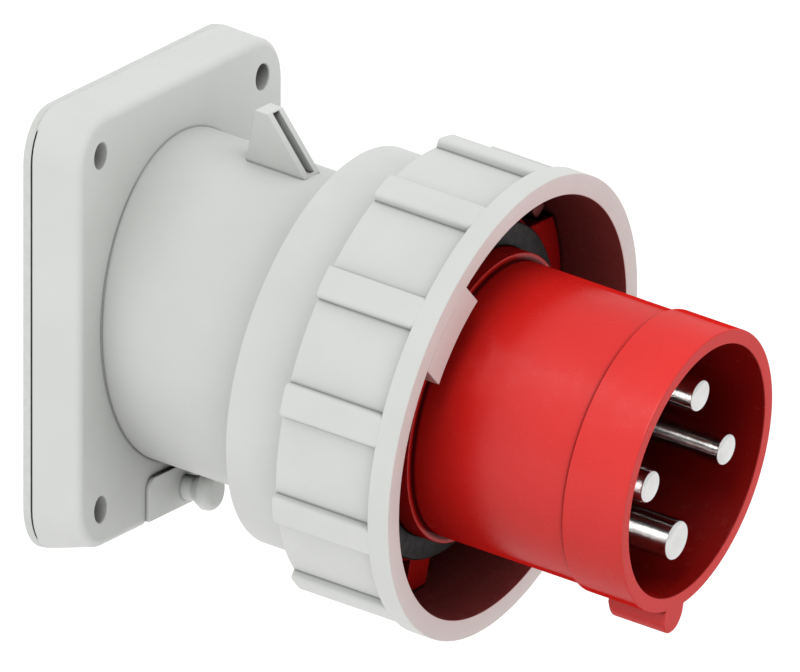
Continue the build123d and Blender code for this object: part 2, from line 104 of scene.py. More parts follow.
def softOutline(points, bend=5):
    # a corner given as (x, y, rounding) becomes an arc
    line = []
    for i, point in enumerate(points):
        corner = Vector(point[:2])
        rounding = point[2] if len(point) > 2 else 0
        if not rounding:
            line.append(corner)
            continue
        before = (Vector(points[i - 1][:2]) - corner).normalized()
        after = (Vector(points[(i + 1) % len(points)][:2]) - corner).normalized()
        half = before.angle(after) / 2
        centre = corner + (before + after).normalized() * rounding / math.sin(half)
        start = corner + before * rounding / math.tan(half) - centre
        end = corner + after * rounding / math.tan(half) - centre
        for step in range(bend + 1):
            line.append(centre + start.slerp(end, step / bend).normalized() * rounding)
    return line


def turned(name, points, steps=160):
    # closed outline of (radius, place) spun about z
    line = softOutline(points)
    angles = spanned(0, 2 * math.pi, steps)[:-1]
    bm = bmesh.new()
    rows = []
    for radius, place in line:
        if radius < 1e-6:
            rows.append([bm.verts.new((0, 0, place))])
        else:
            rows.append([bm.verts.new((x, y, place)) for x, y in arc(radius, angles)])
    for i, row in enumerate(rows):
        nextRow = rows[(i + 1) % len(rows)]
        for k in range(steps):
            n = (k + 1) % steps
            if len(row) > 1 and len(nextRow) > 1:
                bm.faces.new((row[k], row[n], nextRow[n], nextRow[k]))
            elif len(row) > 1:
                bm.faces.new((row[k], row[n], nextRow[0]))
            elif len(nextRow) > 1:
                bm.faces.new((row[0], nextRow[n], nextRow[k]))
    return closedMesh(name, bm)


def cylinder(radius, start, end, steps):
    # plain round bar on the z axis
    return turned("cylinder", [(0, start), (radius, start), (radius, end), (0, end)], steps)


def prism(name, outline, start, end):
    # flat outline pushed along z
    bm = bmesh.new()
    low = [bm.verts.new((x, y, start)) for x, y in outline]
    high = [bm.verts.new((x, y, end)) for x, y in outline]
    bm.faces.new(low)
    bm.faces.new(high)
    for i in range(len(low)):
        n = (i + 1) % len(low)
        bm.faces.new((low[i], low[n], high[n], high[i]))
    return closedMesh(name, bm)


def stacked(name, layers):
    # skin over outlines that all have the same number of points
    bm = bmesh.new()
    rows = [[bm.verts.new((x, y, place)) for x, y in outline] for outline, place in layers]
    bm.faces.new(rows[0])
    bm.faces.new(rows[-1])
    for row, nextRow in zip(rows, rows[1:]):
        for i in range(len(row)):
            n = (i + 1) % len(row)
            bm.faces.new((row[i], row[n], nextRow[n], nextRow[i]))
    return closedMesh(name, bm)


def roundedBox(width, height, corner, bend=10):
    w, h = width / 2, height / 2
    return softOutline([(w, h, corner), (-w, h, corner), (-w, -h, corner), (w, -h, corner)], bend)


def moved(piece, matrix):
    piece.data.transform(matrix)
    return piece


def settled(piece):
    # modifiers become plain mesh
    bpy.context.view_layer.update()
    view = bpy.context.evaluated_depsgraph_get()
    mesh = bpy.data.meshes.new_from_object(piece.evaluated_get(view))
    piece.modifiers.clear()
    piece.data = mesh
    return piece


def joined(piece, others, operation):
    for other in others:
        step = piece.modifiers.new("step", "BOOLEAN")
        step.operation = operation
        step.solver = "EXACT"
        step.object = other
        settled(piece)
        bpy.data.objects.remove(other)
    return piece


def rounded(piece, width, sides=2, angle=30):
    step = piece.modifiers.new("edges", "BEVEL")
    step.width = width
    step.segments = sides
    step.limit_method = "ANGLE"
    step.angle_limit = math.radians(angle)
    return settled(piece)


def merged(name, parts):
    bm = bmesh.new()
    for part in parts:
        bm.from_mesh(part.data)
        bpy.data.objects.remove(part)
    return meshFrom(name, bm)


def finished(piece, matrix, body, node, material, smooth=32):
    # into metres and the part's frame, shaded, and handed to the frame
    moved(piece, Matrix.Scale(mm, 4) @ matrix)
    piece.data.materials.clear()
    piece.data.materials.append(material)
    piece.data.shade_smooth()
    piece.data.set_sharp_from_angle(angle=math.radians(smooth))
    weights = piece.modifiers.new("shading", "WEIGHTED_NORMAL")
    weights.keep_sharp = True
    settled(piece)
    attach(piece, body)
    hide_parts(node)
    return piece


# Geometry Nodes: copies of a piece turned about the z axis

def turningTree():
    tree = bpy.data.node_groups.new("turnedCopies", "GeometryNodeTree")
    face = tree.interface
    face.new_socket("Piece", in_out="INPUT", socket_type="NodeSocketGeometry")
    sockets = {}
    for label, kind in (("Count", "NodeSocketInt"), ("First angle", "NodeSocketFloat"),
                        ("Finish", "NodeSocketMaterial")):
        sockets[label] = face.new_socket(label, in_out="INPUT", socket_type=kind).identifier
    face.new_socket("Copies", in_out="OUTPUT", socket_type="NodeSocketGeometry")
    nodes, links = tree.nodes, tree.links
    into = nodes.new("NodeGroupInput")
    points = nodes.new("GeometryNodePoints")
    number = nodes.new("GeometryNodeInputIndex")
    share = nodes.new("ShaderNodeMath")
    share.operation = "DIVIDE"
    share.inputs[0].default_value = 2 * math.pi
    angle = nodes.new("ShaderNodeMath")
    angle.operation = "MULTIPLY_ADD"
    turn = nodes.new("ShaderNodeCombineXYZ")
    place = nodes.new("GeometryNodeInstanceOnPoints")
    real = nodes.new("GeometryNodeRealizeInstances")
    finish = nodes.new("GeometryNodeSetMaterial")
    out = nodes.new("NodeGroupOutput")
    links.new(into.outputs["Count"], points.inputs["Count"])
    links.new(into.outputs["Count"], share.inputs[1])
    links.new(number.outputs[0], angle.inputs[0])
    links.new(share.outputs[0], angle.inputs[1])
    links.new(into.outputs["First angle"], angle.inputs[2])
    links.new(angle.outputs[0], turn.inputs["Z"])
    links.new(points.outputs[0], place.inputs["Points"])
    links.new(into.outputs["Piece"], place.inputs["Instance"])
    links.new(turn.outputs[0], place.inputs["Rotation"])
    links.new(place.outputs[0], real.inputs[0])
    links.new(real.outputs[0], finish.inputs["Geometry"])
    links.new(into.outputs["Finish"], finish.inputs["Material"])
    links.new(finish.outputs[0], out.inputs[0])
    return tree, sockets


copiesTree, copiesSockets = turningTree()


def turnedCopies(piece, count, firstAngle, material):
    step = piece.modifiers.new("copies", "NODES")
    step.node_group = copiesTree
    step[copiesSockets["Count"]] = count
    step[copiesSockets["First angle"]] = math.radians(firstAngle)
    step[copiesSockets["Finish"]] = material
    return settled(piece)


# Materials

def startMaterial(name, roughness, metallic=0.0):
    material = bpy.data.materials.new(name)
    material.use_nodes = True
    tree = material.node_tree
    shader = tree.nodes["Principled BSDF"]
    shader.inputs["Roughness"].default_value = roughness
    shader.inputs["Metallic"].default_value = metallic
    place = tree.nodes.new("ShaderNodeTexCoord")
    return material, tree, shader, place.outputs["Object"]


def noiseOn(tree, place, scale, detail=3.0):
    noise = tree.nodes.new("ShaderNodeTexNoise")
    noise.inputs["Scale"].default_value = scale
    noise.inputs["Detail"].default_value = detail
    tree.links.new(place, noise.inputs["Vector"])
    return noise.outputs["Fac"]


def spread(tree, value, low, high, fromLow=0.3, fromHigh=0.7):
    span = tree.nodes.new("ShaderNodeMapRange")
    span.inputs["From Min"].default_value = fromLow
    span.inputs["From Max"].default_value = fromHigh
    span.inputs["To Min"].default_value = low
    span.inputs["To Max"].default_value = high
    tree.links.new(value, span.inputs["Value"])
    return span.outputs[0]


def tinted(tree, value, dark, light):
    mix = tree.nodes.new("ShaderNodeMix")
    mix.data_type = "RGBA"
    mix.inputs["A"].default_value = (*dark, 1)
    mix.inputs["B"].default_value = (*light, 1)
    tree.links.new(value, mix.inputs["Factor"])
    return mix.outputs["Result"]


def grained(tree, shader, height, depth, edge=0.0):
    bump = tree.nodes.new("ShaderNodeBump")
    bump.inputs["Distance"].default_value = depth * mm
    tree.links.new(height, bump.inputs["Height"])
    if edge:
        bevel = tree.nodes.new("ShaderNodeBevel")
        bevel.samples = 4
        bevel.inputs["Radius"].default_value = edge * mm
        tree.links.new(bevel.outputs[0], bump.inputs["Normal"])
    tree.links.new(bump.outputs[0], shader.inputs["Normal"])


def roughened(tree, shader, pattern, roughness, drift):
    low, high = (roughness + step for step in drift)
    tree.links.new(spread(tree, pattern, low, high), shader.inputs["Roughness"])


# Painted shade: seams, hollows and the sleeve's bore darken the colour and the gloss by how little of the
# surroundings a point sees. Reaches and radii are millimetres. The open ranges are shares of the
# surroundings that a point sees, and the shade values are what is left of the colour in the closest seam or
# hollow.
hollows = {
    "samples": 8, "reach": 70.0, "deepShade": 0.30,
    "grey": {"seam": 0.9, "seamOpen": (0.50, 0.92), "seamShade": 0.45, "deep": (0.0, 0.28), "slope": 0.34},
    "plate": {"seam": 0.9, "seamOpen": (0.45, 0.92), "seamShade": 0.65, "deep": (0.0, 0.10), "slope": 0.16},
    "ring": {"seam": 0.9, "seamOpen": (0.50, 0.92), "seamShade": 0.45, "deep": (0.02, 0.42), "slope": 0.34},
    "red": {"seam": 1.6, "seamOpen": (0.73, 0.90), "seamShade": 0.18, "deep": (0.0, 0.33), "slope": 0.34,
            "evenGloss": (0.13, 0.81), "glossCurve": 1.3},
    "boreShade": 0.40, "sleeveRadius": 31.05,
}


def openness(tree, reach):
    # how much of the surroundings a point sees within the reach, from 0 to 1
    seen = tree.nodes.new("ShaderNodeAmbientOcclusion")
    seen.samples = hollows["samples"]
    seen.inputs["Distance"].default_value = reach * mm
    return seen.outputs["AO"]


def worked(tree, operation, first, second):
    step = tree.nodes.new("ShaderNodeMath")
    step.operation = operation
    for socket, value in zip(step.inputs, (first, second)):
        if isinstance(value, (int, float)):
            socket.default_value = value
        else:
            tree.links.new(value, socket)
    return step.outputs[0]


def sleevePlace(tree, place):
    # distance out along the sleeve's axis, and distance from that axis, in metres
    along = tree.nodes.new("ShaderNodeMapping")
    along.inputs["Location"].default_value = (-sleeveAxis["foot"] * math.cos(tilt) * mm, 0,
                                              -sleeveAxis["foot"] * math.sin(tilt) * mm)
    along.inputs["Rotation"].default_value = (0, -tilt, 0)
    tree.links.new(place, along.inputs["Vector"])
    split = tree.nodes.new("ShaderNodeSeparateXYZ")
    tree.links.new(along.outputs[0], split.inputs[0])
    squares = [worked(tree, "MULTIPLY", split.outputs[axis], split.outputs[axis]) for axis in ("Y", "Z")]
    return split.outputs["X"], worked(tree, "SQRT", worked(tree, "ADD", *squares), 0)


def coloured(tree, shader, colour, gloss, hollow, within=None, bounceMask=None):
    # painted shade: seams and hollows darken the colour and dull the gloss, as shade would
    seam = spread(tree, openness(tree, hollow["seam"]), hollow["seamShade"], 1, *hollow["seamOpen"])
    opened = openness(tree, hollows["reach"])
    deep = spread(tree, opened, hollows["deepShade"], 1, *hollow["deep"])
    slope = worked(tree, "POWER", opened, hollow["slope"])
    shade = worked(tree, "MULTIPLY", seam, worked(tree, "MULTIPLY", deep, slope))
    # painted shade: the sleeve's bore is darker still
    if within:
        shade = worked(tree, "MULTIPLY", shade, spread(tree, within, 1, hollows["boreShade"], 0, 1))
    if bounceMask:
        colour = paintedRedBounce(tree, colour, opened, bounceMask)
    scale = tree.nodes.new("ShaderNodeVectorMath")
    scale.operation = "SCALE"
    tree.links.new(colour, scale.inputs[0])
    tree.links.new(shade, scale.inputs["Scale"])
    tree.links.new(scale.outputs[0], shader.inputs["Base Color"])
    shine = worked(tree, "MULTIPLY", shade, gloss)
    if hollow.get("evenGloss"):
        shine = worked(tree, "MULTIPLY", shine, evenGloss(tree, hollow["evenGloss"], hollow["glossCurve"]))
    shader.inputs["Specular IOR Level"].default_value = gloss
    tree.links.new(shine, shader.inputs["Specular IOR Level"])


def evenGloss(tree, facing, curve):
    # a moulded skin reflects no more at a flat angle than head on
    angle = tree.nodes.new("ShaderNodeLayerWeight")
    angle.inputs["Blend"].default_value = 0.5
    return worked(tree, "POWER", spread(tree, angle.outputs["Facing"], 1, 0, *facing), curve)


def paintedRedBounce(tree, colour, opened, mask):
    # painted red bounce light: the ring's mouth is tinted with a little of the red that stands in it
    share = worked(tree, "MULTIPLY", mask, spread(tree, opened, 1, 0, *redBounce["open"]))
    mix = tree.nodes.new("ShaderNodeMix")
    mix.data_type = "RGBA"
    mix.blend_type = "MULTIPLY"
    mix.inputs["B"].default_value = (*redBounce["colour"], 1)
    tree.links.new(share, mix.inputs["Factor"])
    tree.links.new(colour, mix.inputs["A"])
    return mix.outputs["Result"]


def ringMouth(tree, out, away):
    inner = worked(tree, "LESS_THAN", away, redBounce["radius"] * mm)
    face = worked(tree, "GREATER_THAN", out, redBounce["face"] * mm)
    return worked(tree, "MULTIPLY", worked(tree, "MAXIMUM", inner, face),
                  worked(tree, "GREATER_THAN", out, redBounce["start"] * mm))


# painted red bounce light on the ring: where its inside and front face lie, out along the sleeve's axis
# and away from it, and the red they are tinted with
redBounce = {"start": 62.0, "radius": 51.9, "face": 88.7, "open": (0.20, 0.92), "colour": (1.0, 0.20, 0.19)}

# noise scales are counts to the metre, grain depths and soft edges are millimetres
plastic = {
    "grey": {"dark": (0.682, 0.694, 0.673), "light": (0.714, 0.727, 0.706),
             "roughness": 0.46, "gloss": 0.22, "grainDepth": 0.006},
    "red": {"dark": (0.525, 0.0115, 0.0090), "light": (0.565, 0.0125, 0.0100),
            "roughness": 0.24, "gloss": 0.47, "grainDepth": 0.003},
    "black": {"dark": (0.018, 0.018, 0.020), "light": (0.030, 0.030, 0.032),
              "roughness": 0.5, "gloss": 0.22, "grainDepth": 0.006},
    "flow": 55, "patches": 260, "drift": (-0.04, 0.05), "grain": 2600, "edge": 0.25,
}


def mouldedPlastic(name, skin, kind):
    material, tree, shader, place = startMaterial(name, skin["roughness"])
    flow = noiseOn(tree, place, plastic["flow"], 4.0)  # slow drift of shade from the mould's flow
    colour = tinted(tree, spread(tree, flow, 0, 1), skin["dark"], skin["light"])
    out, away = sleevePlace(tree, place)
    # inside the sleeve's bore the red gets painted shade
    inBore = worked(tree, "LESS_THAN", away, hollows["sleeveRadius"] * mm) if kind == "red" else None
    # the ring's mouth gets a painted red bounce
    redBounceMask = ringMouth(tree, out, away) if kind == "ring" else None
    coloured(tree, shader, colour, skin["gloss"], hollows[kind], inBore, redBounceMask)
    roughened(tree, shader, noiseOn(tree, place, plastic["patches"]), skin["roughness"], plastic["drift"])
    grained(tree, shader, noiseOn(tree, place, plastic["grain"], 2.0), skin["grainDepth"], plastic["edge"])
    return material


rubber = {
    "gasket": {"dark": (0.63, 0.645, 0.62), "light": (0.69, 0.705, 0.68), "roughness": 0.62, "gloss": 0.4},
    "seal": {"dark": (0.009, 0.0085, 0.0085), "light": (0.020, 0.019, 0.0185), "roughness": 0.48,
             "gloss": 0.2},
    "dust": 420, "drift": (0.06, -0.06), "grain": 1800, "grainDepth": 0.012, "edge": 0.2,
}


def softRubber(name, skin):
    material, tree, shader, place = startMaterial(name, skin["roughness"])
    dust = noiseOn(tree, place, rubber["dust"], 5.0)
    colour = tinted(tree, spread(tree, dust, 0, 1), skin["dark"], skin["light"])
    # painted shade in seams and hollows, as on the mouldings
    coloured(tree, shader, colour, skin["gloss"], hollows["ring"])
    roughened(tree, shader, dust, skin["roughness"], rubber["drift"])
    grained(tree, shader, noiseOn(tree, place, rubber["grain"]), rubber["grainDepth"], rubber["edge"])
    return material


plating = {
    "nickel": {"dark": (0.575, 0.572, 0.565), "light": (0.640, 0.637, 0.630), "roughness": 0.09,
               "lines": 2400, "depth": 0.0008},
    "zinc": {"dark": (0.50, 0.50, 0.49), "light": (0.66, 0.66, 0.65), "roughness": 0.30,
             "lines": 900, "depth": 0.003},
    "lineLength": 14, "cloud": 190, "drift": (-0.03, 0.04),
}


def platedMetal(name, skin):
    # fine turning marks round the piece, seen along the sleeve's axis
    material, tree, shader, place = startMaterial(name, skin["roughness"], 1.0)
    turn = tree.nodes.new("ShaderNodeMapping")
    turn.inputs["Rotation"].default_value = (0, -tilt, 0)
    turn.inputs["Scale"].default_value = (skin["lines"], plating["lineLength"], plating["lineLength"])
    tree.links.new(place, turn.inputs["Vector"])
    marks = noiseOn(tree, turn.outputs[0], 1.0)
    cloud = spread(tree, noiseOn(tree, place, plating["cloud"]), 0, 1)
    tree.links.new(tinted(tree, cloud, skin["dark"], skin["light"]), shader.inputs["Base Color"])
    roughened(tree, shader, marks, skin["roughness"], plating["drift"])
    grained(tree, shader, marks, skin["depth"])
    return material


finishes = {
    "grey": mouldedPlastic("greyMoulding", plastic["grey"], "grey"),
    "ring": mouldedPlastic("ringMoulding", plastic["grey"], "ring"),
    "plate": mouldedPlastic("plateMoulding", plastic["grey"], "plate"),
    "red": mouldedPlastic("redMoulding", plastic["red"], "red"),
    "black": mouldedPlastic("blackMoulding", plastic["black"], "grey"),
    "gasket": softRubber("gasketRubber", rubber["gasket"]),
    "seal": softRubber("sealRubber", rubber["seal"]),
    "nickel": platedMetal("nickelPlate", plating["nickel"]),
    "zinc": platedMetal("zincPlate", plating["zinc"]),
}
print("materials made:", len(finishes))


# Housing: flange, tube, collar and fin

flange = {
    "width": 100.0, "height": 106.5, "corner": 11.5, "back": 2.0, "front": 14.35, "draft": 7.5,
    "edgeRound": 2.0, "holeY": 38.5, "holeZ": 42.5, "holeRadius": 3.15, "holeEdge": 0.25,
    "gapWidth": 0.45, "gapReach": 3.0, "wall": 4.5, "pocketDepth": 6.5, "boss": 6.95,
    "plateHalfWidth": 17.4, "plateTop": -40.35, "plateDepth": 3.0, "plateCorner": 3.2,
}
tube = {
    "radius": 38.5, "bore": 34.5, "footRadius": 38.9, "footHeight": 0.25, "length": 40.3,
    "collar": 48.45, "collarFront": 57.2, "neck": 45.5, "neckFront": 60.6, "edge": 0.3, "back": -30.0,
    "finStart": 12.6, "finWidth": 7.4, "finHeight": 12.4, "finTop": 3.5, "finSlope": 45.5,
    "finRoot": 2.0, "finRound": 0.18,
    "slotWidth": 3.0, "slotDepth": 4.5, "slotWalls": (0.3, 0.75),
}


def flangeOutline(inset, corner):
    return roundedBox(flange["width"] - 2 * inset, flange["height"] - 2 * inset, corner)


def flangeBlock():
    depth = flange["front"] - flange["back"]
    roundness = flange["edgeRound"]
    lean = math.tan(math.radians(flange["draft"]))
    shoulder = depth - roundness
    layers = [(flangeOutline(0, flange["corner"]), 0),
              (flangeOutline(lean * shoulder, flange["corner"]), shoulder)]
    for angle in quarterTurn(8)[1:]:
        drawnIn = roundness * (1 - math.cos(angle))
        layers.append((flangeOutline(lean * shoulder + drawnIn, flange["corner"] - drawnIn),
                       shoulder + roundness * math.sin(angle)))
    return moved(stacked("flangeBlock", layers), Matrix.Translation((0, 0, flange["back"])))


def atBolts(shape):
    # what the shape function makes, once at each bolt hole
    return [moved(shape(), Matrix.Translation((y * flange["holeY"], z * flange["holeZ"], 0)))
            for y in (-1, 1) for z in (-1, 1)]


def boltHole():
    r, edge, front = flange["holeRadius"], flange["holeEdge"], flange["front"]
    wide = r + 2 * edge
    return turned("hole", [(0, -beyond), (r, -beyond), (r, front - edge), (wide, front + edge),
                           (wide, front + beyond), (0, front + beyond)], 48)


def flangeCutters():
    back, front = flange["back"], flange["front"]
    cutters = atBolts(boltHole)
    for side in (-1, 1):
        rim = side * flange["width"] / 2
        inner, outer = rim - side * flange["gapReach"], rim + side * beyond
        h = flange["height"]
        cutters.append(prism("gap", [(inner, -h), (outer, -h), (outer, h), (inner, h)],
                             back - beyond, back + flange["gapWidth"]))
    half, top, low = flange["plateHalfWidth"], flange["plateTop"], -flange["height"]
    outline = softOutline([(-half, low), (half, low), (half, top, flange["plateCorner"]),
                           (-half, top, flange["plateCorner"])], 8)
    cutters.append(prism("plateRecess", outline, front - flange["plateDepth"], front + beyond))
    return cutters


def rearPocket():
    wall = flange["wall"]
    top = flange["back"] + flange["pocketDepth"]
    pocket = prism("pocket", flangeOutline(wall, flange["corner"] - wall / 2), flange["back"] - beyond, top)
    bosses = atBolts(lambda: cylinder(flange["boss"], -beyond, top + beyond, 48))
    return joined(pocket, bosses, "DIFFERENCE")


def topFin():
    root, crest = tube["radius"] - tube["finRoot"], tube["radius"] + tube["finHeight"]
    run = tube["finHeight"] / math.tan(math.radians(tube["finSlope"]))
    start, topEnd = tube["finStart"], tube["finStart"] + tube["finTop"]
    outline = [(start, root), (start, crest), (topEnd, crest), (topEnd + run, tube["radius"]),
               (topEnd + run, root)]
    half = tube["finWidth"] / 2
    fin = rounded(prism("fin", outline, -half, half), tube["finRound"])
    half = tube["finHeight"] / math.sin(math.radians(tube["finSlope"])) / 2
    high, low = tube["slotWalls"][0] - half, half - tube["slotWalls"][1]
    d, w = tube["slotDepth"], tube["slotWidth"] / 2
    slot = prism("slot", [(high, -d), (low, -d), (low, d), (high, d)], -w, w)
    middle = (topEnd + run / 2, tube["radius"] + tube["finHeight"] / 2, 0)
    moved(slot, Matrix.Translation(middle) @ Matrix.Rotation(-math.radians(tube["finSlope"]), 4, "Z"))
    joined(fin, [slot], "DIFFERENCE")
    # drawn with x along the sleeve: turn it so that x runs along z
    return moved(fin, Matrix(((0, 0, -1, 0), (0, 1, 0, 0), (1, 0, 0, 0), (0, 0, 0, 1))))


def housingMoulding():
    edge, back = tube["edge"], tube["back"]
    shell = turned("shell", [
        (0, back), (tube["radius"], back), (tube["radius"], tube["length"]),
        (tube["collar"], tube["length"], edge), (tube["collar"], tube["collarFront"], edge),
        (tube["neck"], tube["collarFront"]), (tube["neck"], tube["neckFront"], edge), (0, tube["neckFront"]),
    ], 240)
    joined(shell, [topFin()], "UNION")
    moved(shell, alongSleeve)
    wide = 1.5 * flange["width"]
    behind = prism("behind", roundedBox(wide, wide, flange["corner"]), 2 * back, flange["back"])
    joined(shell, [moved(behind, facingPanel)], "DIFFERENCE")
    moulding = moved(flangeBlock(), facingPanel)
    joined(moulding, [moved(rearPocket(), facingPanel)], "DIFFERENCE")
    front = flange["front"]
    foot = cylinder(tube["footRadius"], front - beyond, front + tube["footHeight"], 200)
    joined(moulding, [moved(foot, facingPanel), shell], "UNION")
    bore = moved(cylinder(tube["bore"], back - beyond, tube["neckFront"] + beyond, 200), alongSleeve)
    joined(moulding, [bore] + [moved(cutter, facingPanel) for cutter in flangeCutters()], "DIFFERENCE")
    moulding.name = "housingMoulding"
    return finished(moulding, Matrix.Identity(4), "inlet", "housing", finishes["grey"])


housingMoulding()
print("housing done")


# Gasket behind the flange

gasket = {"width": 100.0, "height": 106.5, "corner": 12.0, "thickness": 2.0, "opening": 40.0, "hole": 3.15,
          "edge": 0.1}


def gasketOutline(inset):
    return roundedBox(gasket["width"] - 2 * inset, gasket["height"] - 2 * inset, gasket["corner"] - inset)


def flangeGasket():
    e, t = gasket["edge"], gasket["thickness"]
    sheet = stacked("gasketSheet", [(gasketOutline(e), 0), (gasketOutline(0), e), (gasketOutline(0), t)])
    opening = cylinder(gasket["opening"], -beyond, t + beyond, 160)
    holes = atBolts(lambda: cylinder(gasket["hole"], -beyond, t + beyond, 40))
    joined(sheet, [opening] + holes, "DIFFERENCE")
    return finished(sheet, facingPanel, "inlet", "flange_gasket", finishes["gasket"])


flangeGasket()
print("gasket done")


# Plate with the stud for the cap's cord

cordPlate = {"halfWidth": 17.2, "top": -40.55, "bottom": -50.8, "corner": 3.0, "back": 11.45, "front": 15.35,
             "stud": 46.4, "neck": 3.0, "neckLength": 2.8, "head": 4.75, "flare": 2.6, "headLength": 3.1,
             "headRound": 1.9, "neckRound": 0.8, "flareRound": 0.6, "edge": 0.25}


def capCordPlate():
    p = cordPlate
    half, corner, front = p["halfWidth"], p["corner"], p["front"]
    outline = softOutline([(-half, p["bottom"]), (half, p["bottom"]), (half, p["top"], corner),
                           (-half, p["top"], corner)], 8)
    plate = rounded(prism("plate", outline, p["back"], front), p["edge"], 3)
    neckEnd = front + p["neckLength"]
    headStart = neckEnd + p["flare"]
    headEnd = headStart + p["headLength"]
    stud = turned("stud", [
        (0, front - beyond), (p["neck"], front - beyond), (p["neck"], neckEnd, p["neckRound"]),
        (p["head"], headStart, p["flareRound"]), (p["head"], headEnd, p["headRound"]), (0, headEnd),
    ], 96)
    moved(stud, Matrix.Translation((0, -p["stud"], 0)))
    both = joined(plate, [stud], "UNION")
    both.name = "capCordPlate"
    return finished(both, facingPanel, "inlet", "cap_cord_plate", finishes["plate"])


capCordPlate()
print("cap cord plate done")


# Locking ring

ring = {
    "start": 57.5, "front": 89.0, "inner": 51.7, "outer": 56.8, "panel": 54.6, "bandWidth": 5.55,
    "lipThickness": 2.8, "lipBore": 45.75, "ribs": 12, "ribWidth": 8.05, "ribRound": 1.15, "firstRib": 23.5,
    "lugs": 2, "lugAngle": 143.5, "lugWidth": 22.0, "lugInner": 43.1, "lugThickness": 5.0, "edge": 0.15,
    "stopWidth": 4.0, "stopHeight": 4.2, "stopLength": 9.5, "stopAngles": (43.9, 76.1),
    "ribRoot": 1.5, "ribEdge": 0.25, "lugRoot": 1.2, "lugEdge": 0.3, "stopRoot": 1.0, "stopEdge": 0.3,
    "crownDrop": 0.015, "ribDrop": 0.02, "lugDrop": 0.01,  # keep two faces from lying in one plane
}


def ringDrum():
    e = ring["edge"]
    band = ring["front"] - ring["bandWidth"]
    lip = ring["start"] + ring["lipThickness"]
    return turned("drum", [
        (ring["lipBore"], ring["start"], e), (ring["panel"], ring["start"], e), (ring["panel"], band),
        (ring["outer"], band, e / 2), (ring["outer"], ring["front"], e), (ring["inner"], ring["front"], e),
        (ring["inner"], lip), (ring["lipBore"], lip, e),
    ], 288)


def ringRibs():
    # one rib, its crown following the ring, repeated by the node tree
    half, outer, turnIn = ring["ribWidth"] / 2, ring["outer"] - ring["crownDrop"], ring["ribRound"]
    root = ring["panel"] - ring["ribRoot"]
    shoulder = math.sqrt(outer ** 2 - (half - turnIn) ** 2)
    line = [(root, -half)]
    for angle in quarterTurn(8):
        line.append((shoulder - turnIn + turnIn * math.sin(angle), -half + turnIn * (1 - math.cos(angle))))
    for step in range(1, 6):
        y = (half - turnIn) * (step / 3 - 1)
        line.append((math.sqrt(outer ** 2 - y ** 2), y))
    for angle in quarterTurn(8):
        line.append((shoulder - turnIn + turnIn * math.cos(angle), half - turnIn * (1 - math.sin(angle))))
    line.append((root, half))
    band = ring["front"] - ring["bandWidth"]
    rib = prism("rib", line, ring["start"] + ring["ribDrop"], band + ring["ribRoot"])
    rounded(rib, ring["ribEdge"], 2, 60)
    return turnedCopies(rib, ring["ribs"], ring["firstRib"], finishes["ring"])


def ringLugs():
    half, inner, root = ring["lugWidth"] / 2, ring["lugInner"], ring["inner"] + ring["lugRoot"]
    sweep, reach = math.asin(half / inner), math.asin(half / root)
    line = arc(inner, spanned(-sweep, sweep, 14)) + arc(root, spanned(reach, -reach, 14))
    lug = prism("lug", line, ring["front"] - ring["lugThickness"], ring["front"] - ring["lugDrop"])
    rounded(lug, ring["lugEdge"], 3, 50)
    return turnedCopies(lug, ring["lugs"], ring["lugAngle"], finishes["ring"])


def ringStops():
    stops = []
    lip = ring["start"] + ring["lipThickness"]
    low, high = ring["inner"] - ring["stopHeight"], ring["inner"] + ring["stopRoot"]
    w = ring["stopWidth"] / 2
    for angle in ring["stopAngles"]:
        stop = prism("stop", [(low, -w), (high, -w), (high, w), (low, w)],
                     lip - ring["stopRoot"], lip + ring["stopLength"])
        rounded(stop, ring["stopEdge"])
        stops.append(moved(stop, Matrix.Rotation(math.radians(angle), 4, "Z")))
    return stops


def lockingRing():
    whole = merged("lockingRing", [ringDrum(), ringRibs(), ringLugs()] + ringStops())
    return finished(whole, alongSleeve, "ring", "locking_ring", finishes["ring"])


lockingRing()
print("locking ring done")


# Red insert: sleeve with band and key, seat of the seal, and the ears

insert = {
    "back": 60.6, "flangeRadius": 45.3, "flangeEnd": 66.0, "seat": 42.6, "seatFront": 72.0,
    "footRadius": 35.3, "footEnd": 81.6, "sleeve": 33.55, "bandRadius": 34.5, "bandStart": 122.65,
    "front": 138.6, "edge": 0.35, "inner": 30.9, "rebate": 36.15, "rebateEnd": 64.6,
    "earRadius": 51.2, "earEnd": 71.8, "earHalfHeight": 32.3, "tabHalfWidth": 5.0,
    "keyHalfWidth": 4.25, "keyDrop": 36.35, "keyLength": 15.1, "keyRound": 1.0, "keyRoot": 0.6,
    "keyEdge": 0.3, "stepEdge": 0.3, "bandEdge": 0.12, "earEdge": 0.3,
    "screws": 4, "screwAngle": 45.0, "screwCircle": 38.95, "screwHole": 3.1, "screwDepth": 2.5,
}


def insertBody():
    n, e = insert, insert["stepEdge"]
    return turned("insertBody", [
        (n["rebate"], n["back"]), (n["flangeRadius"], n["back"]), (n["flangeRadius"], n["flangeEnd"], e),
        (n["seat"], n["flangeEnd"]), (n["seat"], n["seatFront"], e), (n["footRadius"], n["seatFront"]),
        (n["footRadius"], n["footEnd"], e), (n["sleeve"], n["footEnd"]), (n["sleeve"], n["bandStart"]),
        (n["bandRadius"], n["bandStart"], n["bandEdge"]), (n["bandRadius"], n["front"], n["edge"]),
        (n["inner"], n["front"], e), (n["inner"], n["rebateEnd"]), (n["rebate"], n["rebateEnd"]),
    ], 256)


def holdingEars():
    n = insert
    r, h, root = n["earRadius"], n["earHalfHeight"], n["screwCircle"]
    outer, inner = math.asin(h / r), math.asin(h / root)
    steps = spanned(1, -1, 28)
    outlines = [arc(r, [side + k * outer for k in steps]) + arc(root, [side - k * inner for k in steps])
                for side in (0, math.pi)]
    half, top = n["tabHalfWidth"], -n["footRadius"]
    low = -math.sqrt(r ** 2 - half ** 2)
    outlines.append([(-half, top), (-half, low), (0, -r), (half, low), (half, top)])
    return [rounded(prism("ear", line, n["back"], n["earEnd"]), n["earEdge"], 2, 40) for line in outlines]


